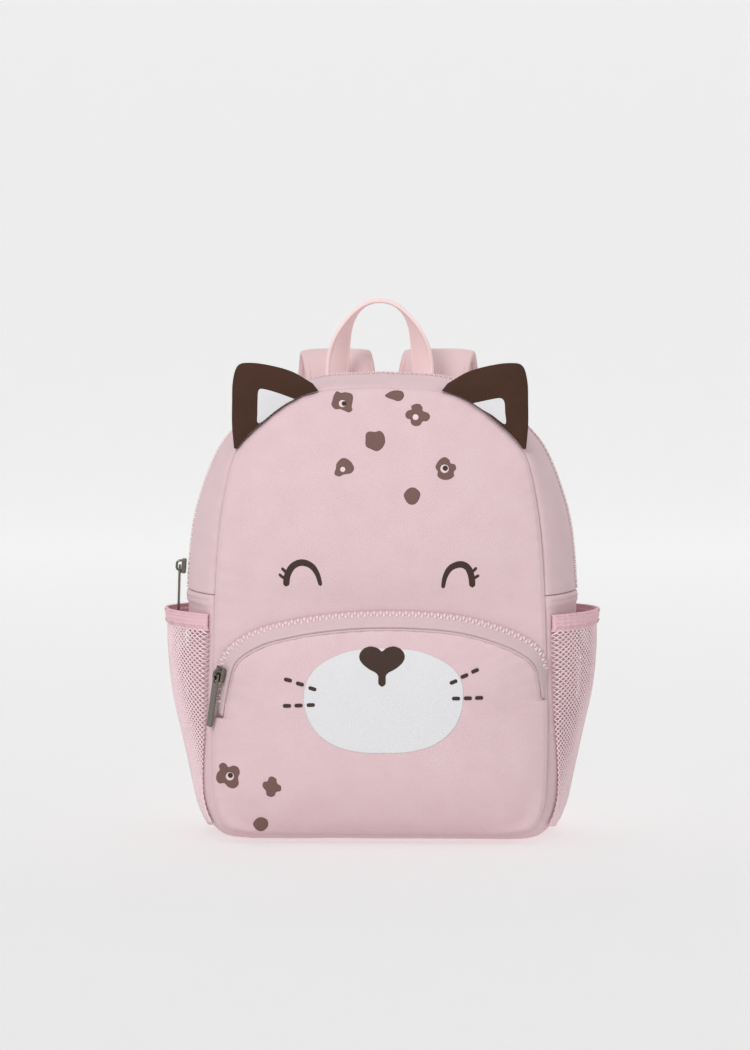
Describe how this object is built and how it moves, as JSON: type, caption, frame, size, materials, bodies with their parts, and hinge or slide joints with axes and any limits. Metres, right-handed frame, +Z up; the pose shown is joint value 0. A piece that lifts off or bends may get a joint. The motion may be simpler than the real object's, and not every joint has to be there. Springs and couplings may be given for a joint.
{
  "type": "kids animal backpack",
  "caption": "Small soft nursery backpack with a domed animal-face front, ears on the top seam, arched zip pocket, net side pockets, webbing grab handle and padded shoulder straps",
  "frame": {"origin": "middle of the flat base, on the surface that the bag stands on", "axes": "+Z up, -Y the way the face looks, +X to the right of a viewer in front"},
  "size_m": [0.2852, 0.1812, 0.355],
  "materials": {
    "canvas": "plain-woven polyester canvas in pale pink, matt",
    "zip_tape": "woven zip tape in pale pink",
    "zip_teeth": "moulded zip teeth in pale pink",
    "metal": "gunmetal-plated cast zinc",
    "net": "knitted open net in pink",
    "elastic": "ribbed elastic binding",
    "ear_cloth": "dark brown canvas, lightly padded",
    "white_cloth": "white print on canvas",
    "webbing": "folded canvas webbing, topstitched",
    "buckle_plastic": "moulded acetal ladder buckle"
  },
  "bodies": {
    "bag": {"front_panel": "canvas", "gusset_front": "canvas", "gusset_back": "canvas", "gusset_lower": "canvas", "back_panel": "canvas", "pocket_panel": "canvas", "main_zip_tape": "zip_tape", "main_zip_chain": "zip_teeth", "main_slider": "metal", "pocket_zip_tape": "zip_tape", "pocket_zip_chain": "zip_teeth", "pocket_slider": "metal", "mesh_pocket_left": "net", "mesh_pocket_right": "net", "pocket_binding_left": "elastic", "pocket_binding_right": "elastic", "ear_left": "ear_cloth", "ear_right": "ear_cloth", "ear_lining_left": "white_cloth", "ear_lining_right": "white_cloth", "handle": "webbing", "strap_left": "canvas", "strap_right": "canvas", "strap_webbing_left": "webbing", "strap_webbing_right": "webbing", "strap_tab_left": "webbing", "strap_tab_right": "webbing", "strap_buckle_left": "buckle_plastic", "strap_buckle_right": "buckle_plastic"},
    "pocket_pull": {"pocket_puller": "metal"},
    "main_pull": {"main_puller": "metal"}
  },
  "joints": [
    {"name": "pocket_puller_flip", "type": "hinge", "parent": "bag", "child": "pocket_pull", "pos_m": [-0.10577, -0.05969, 0.11175], "axis": [-0.6148, 0.7518, 0.2383], "range_deg": [0, 160]},
    {"name": "main_puller_swing", "type": "hinge", "parent": "bag", "child": "main_pull", "pos_m": [-0.13452, 0.0012, 0.17773], "axis": [-0.0006, 1, -0.0093], "range_deg": [0, 5]}
  ]
}
